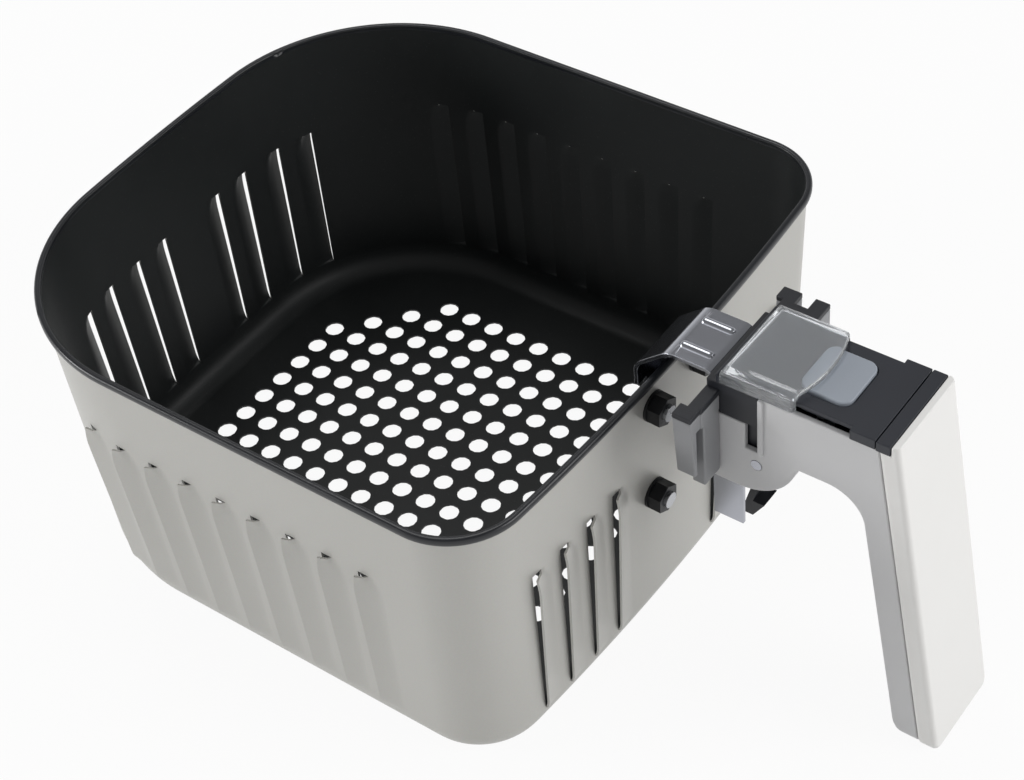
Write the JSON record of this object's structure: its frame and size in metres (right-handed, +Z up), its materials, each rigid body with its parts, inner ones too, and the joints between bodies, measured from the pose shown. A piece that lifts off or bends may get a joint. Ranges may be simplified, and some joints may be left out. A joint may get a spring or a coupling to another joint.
{
  "type": "air fryer basket",
  "caption": "Square perforated frying basket with louvred walls, hung from a rim bracket on a downturned handle with a sliding clear guard over a sprung release button that works a latch.",
  "frame": {"origin": "on the underside of the basket floor, at the middle of the rim square", "axes": "+Z up; -Y from the basket towards the handle; X across the handle"},
  "size_m": [0.2242, 0.3455, 0.1421],
  "materials": {
    "coated_basket": "satin",
    "rim_black": "satin",
    "bracket_steel": "satin",
    "screw_steel": "satin",
    "nut_black": "matte",
    "block_black": "matte",
    "handle_grey": "matte",
    "grip_white": "satin",
    "plate_black": "satin",
    "guard_clear": "clear plastic",
    "button_grey": "satin",
    "lever_black": "matte",
    "spring_steel": "bright"
  },
  "bodies": {
    "basket": {"basket_shell": "coated_basket", "rim_ring": "rim_black", "rim_bracket": "bracket_steel", "bracket_screws": "screw_steel", "bracket_washers": "screw_steel", "bracket_nuts": "nut_black", "mount_block": "block_black", "block_ears": "handle_grey", "mount_screws": "screw_steel", "handle_body": "handle_grey", "grip_face": "grip_white", "grip_screws": "screw_steel", "end_cap": "plate_black", "top_plate": "plate_black", "latch_pin": "screw_steel", "button_springs": "spring_steel", "latch_spring": "spring_steel"},
    "guard": {"button_guard": "guard_clear"},
    "button": {"release_button": "button_grey"},
    "latch": {"latch_lever": "lever_black"}
  },
  "joints": [
    {"name": "guard_slide", "type": "slide", "parent": "basket", "child": "guard", "axis": [0, -1, 0], "range_m": [0, 0.019]},
    {"name": "button_press", "type": "slide", "parent": "basket", "child": "button", "axis": [0, 0, -1], "range_m": [0, 0.0033], "stiffness_N_per_m": 900, "springref_m": -0.003, "deforming": ["button_springs"]},
    {"name": "latch_hinge", "type": "hinge", "parent": "basket", "child": "latch", "pos_m": [0, -0.1571, 0.104], "axis": [1, 0, 0], "range_deg": [0, 10.5], "deforming": ["latch_spring"]}
  ],
  "couplings": [
    {"joint": "latch_hinge", "follows": "button_press", "rad_per_m": 55.5}
  ]
}
